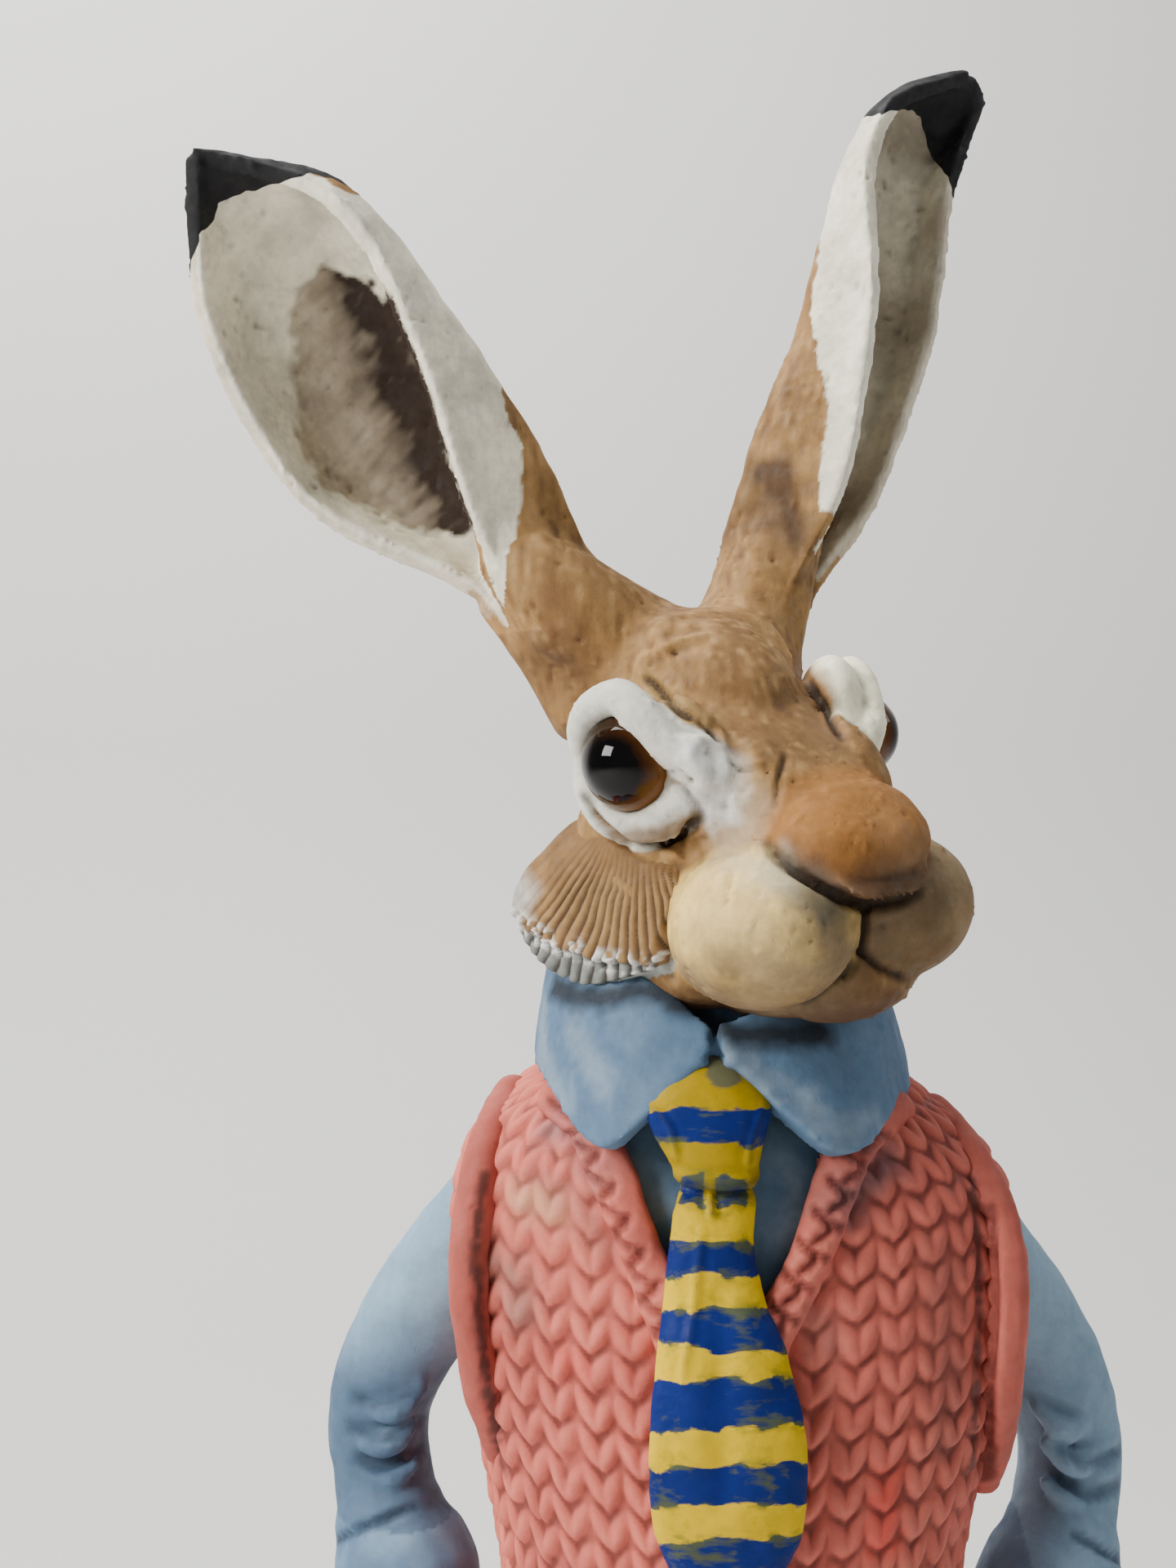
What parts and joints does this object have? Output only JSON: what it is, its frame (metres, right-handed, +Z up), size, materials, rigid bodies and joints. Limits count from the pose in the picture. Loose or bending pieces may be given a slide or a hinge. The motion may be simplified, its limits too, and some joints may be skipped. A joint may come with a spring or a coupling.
{
  "type": "hare sculpture",
  "caption": "Painted clay statue of a standing hare in shirt, tie and knitted vest, hands on hips, head turned, with glass eyes, on a low oval base.",
  "frame": {"origin": "middle of the base's underside, on the surface that the statue stands on", "axes": "+Z up; -Y is where the hare's chest looks; +X is the hare's left side"},
  "size_m": [0.2378, 0.16, 0.6541],
  "materials": {
    "painted_clay": "hand-modelled clay with matt acrylic paint: brown fur, dusty blue shirt, coral knitted vest, yellow and blue striped tie",
    "brown_glass": "glossy amber-brown glass eye with a dark pupil, painted behind so that no light passes through"
  },
  "bodies": {
    "root": {"hare_figure": "painted_clay", "right_eye": "brown_glass", "left_eye": "brown_glass"}
  },
  "joints": []
}
